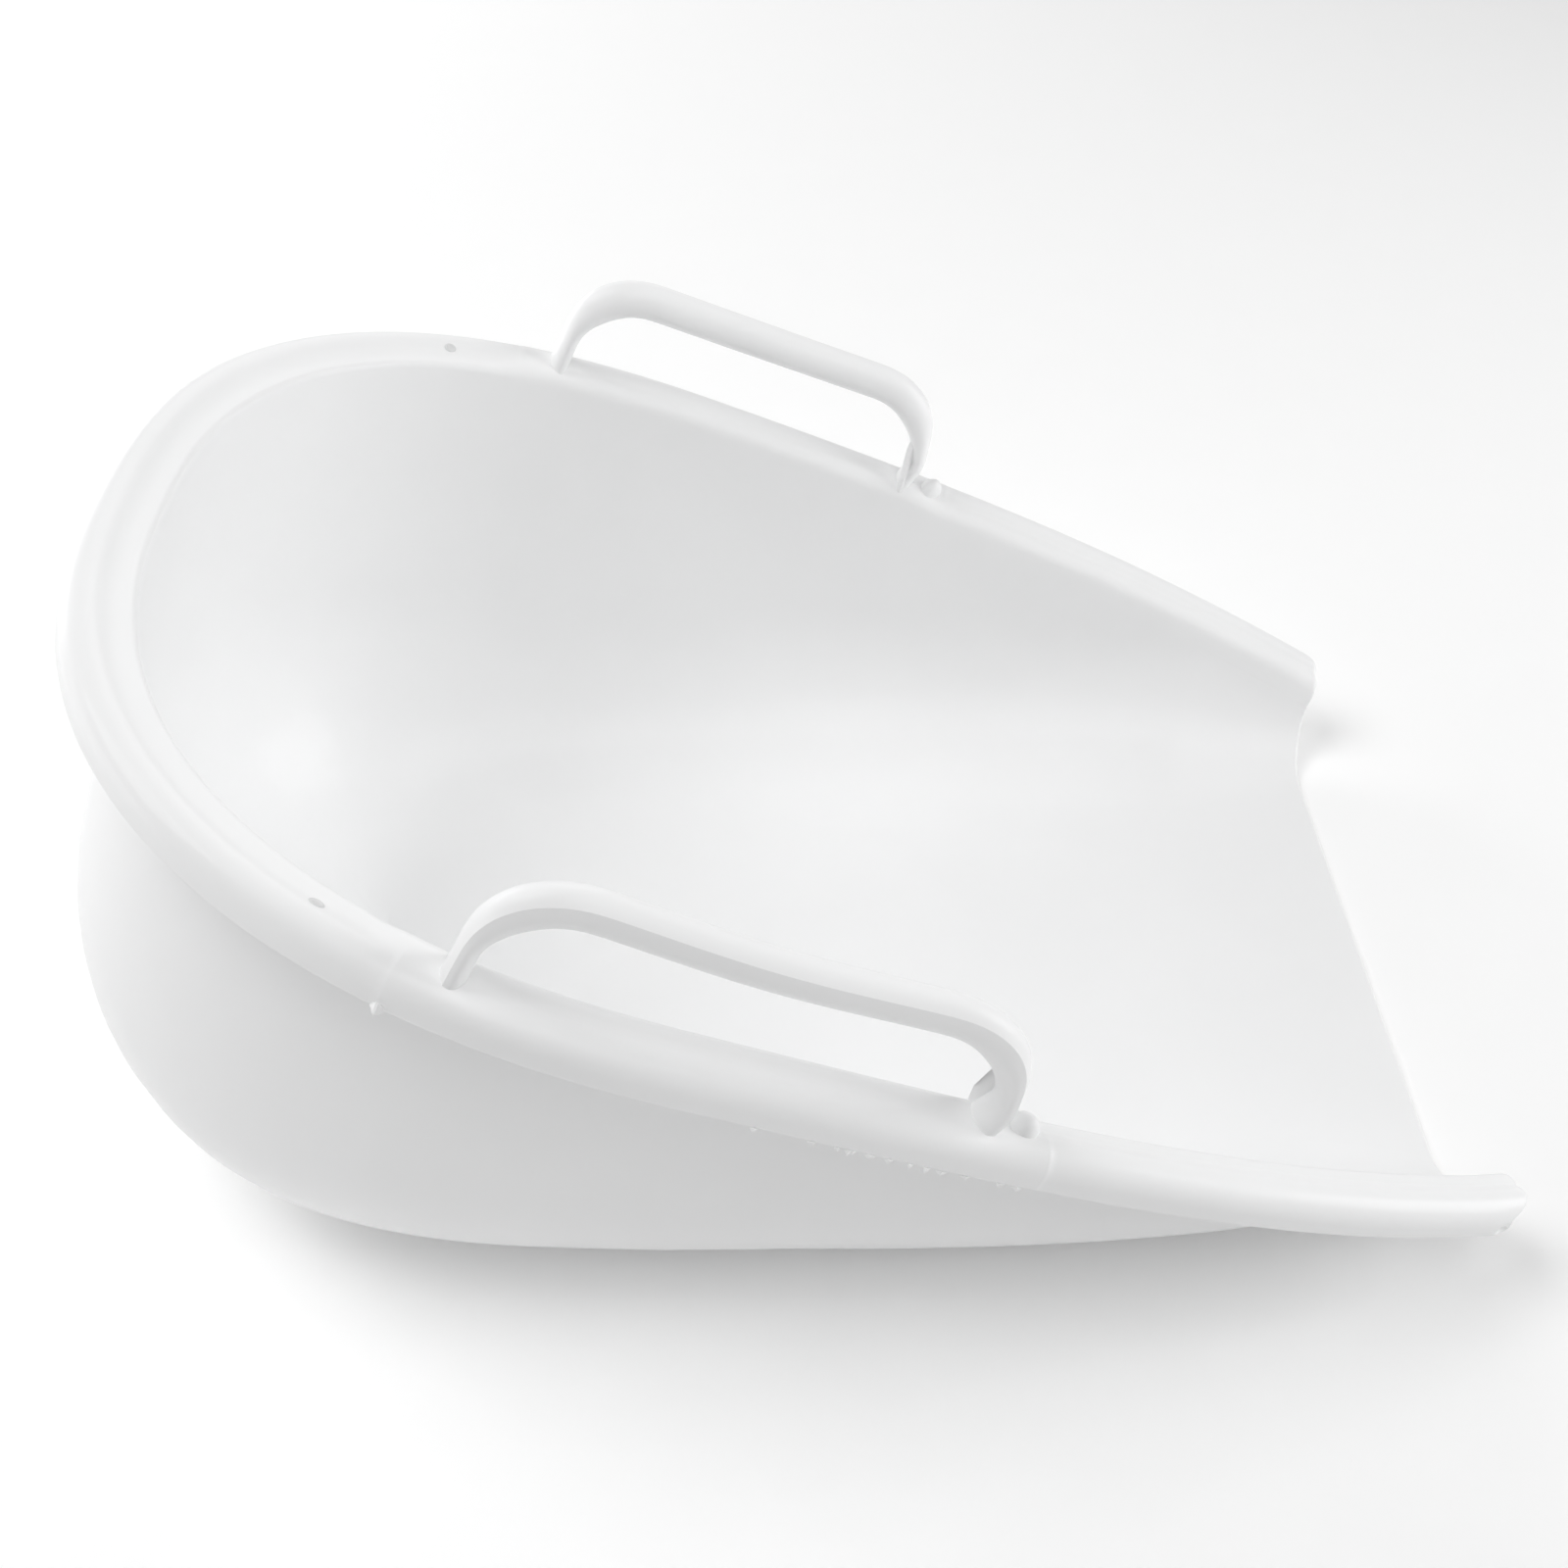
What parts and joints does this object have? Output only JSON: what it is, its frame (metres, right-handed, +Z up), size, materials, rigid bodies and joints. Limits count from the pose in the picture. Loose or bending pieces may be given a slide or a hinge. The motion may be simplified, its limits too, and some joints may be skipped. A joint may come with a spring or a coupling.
{
  "type": "bedpan",
  "caption": "Scoop-shaped plastic bedpan with a deep round back, a low open front, a rolled rim and a U-shaped rod handle on each side.",
  "frame": {"origin": "middle of the footprint box, on the surface that the flat floor rests on", "axes": "+X towards the low open front, +Y towards the left handle, +Z up"},
  "size_m": [0.379, 0.2852, 0.18],
  "materials": {
    "bowl_plastic": "smooth moulded white polypropylene, semi-gloss and slightly translucent",
    "rim_plastic": "smooth moulded white polypropylene, semi-gloss, with faint parting lines",
    "handle_plastic": "smooth moulded white polypropylene, semi-gloss, with a faint parting line along the rod"
  },
  "bodies": {
    "root": {"bowl": "bowl_plastic", "rim": "rim_plastic", "left_handle": "handle_plastic", "right_handle": "handle_plastic"}
  },
  "joints": []
}
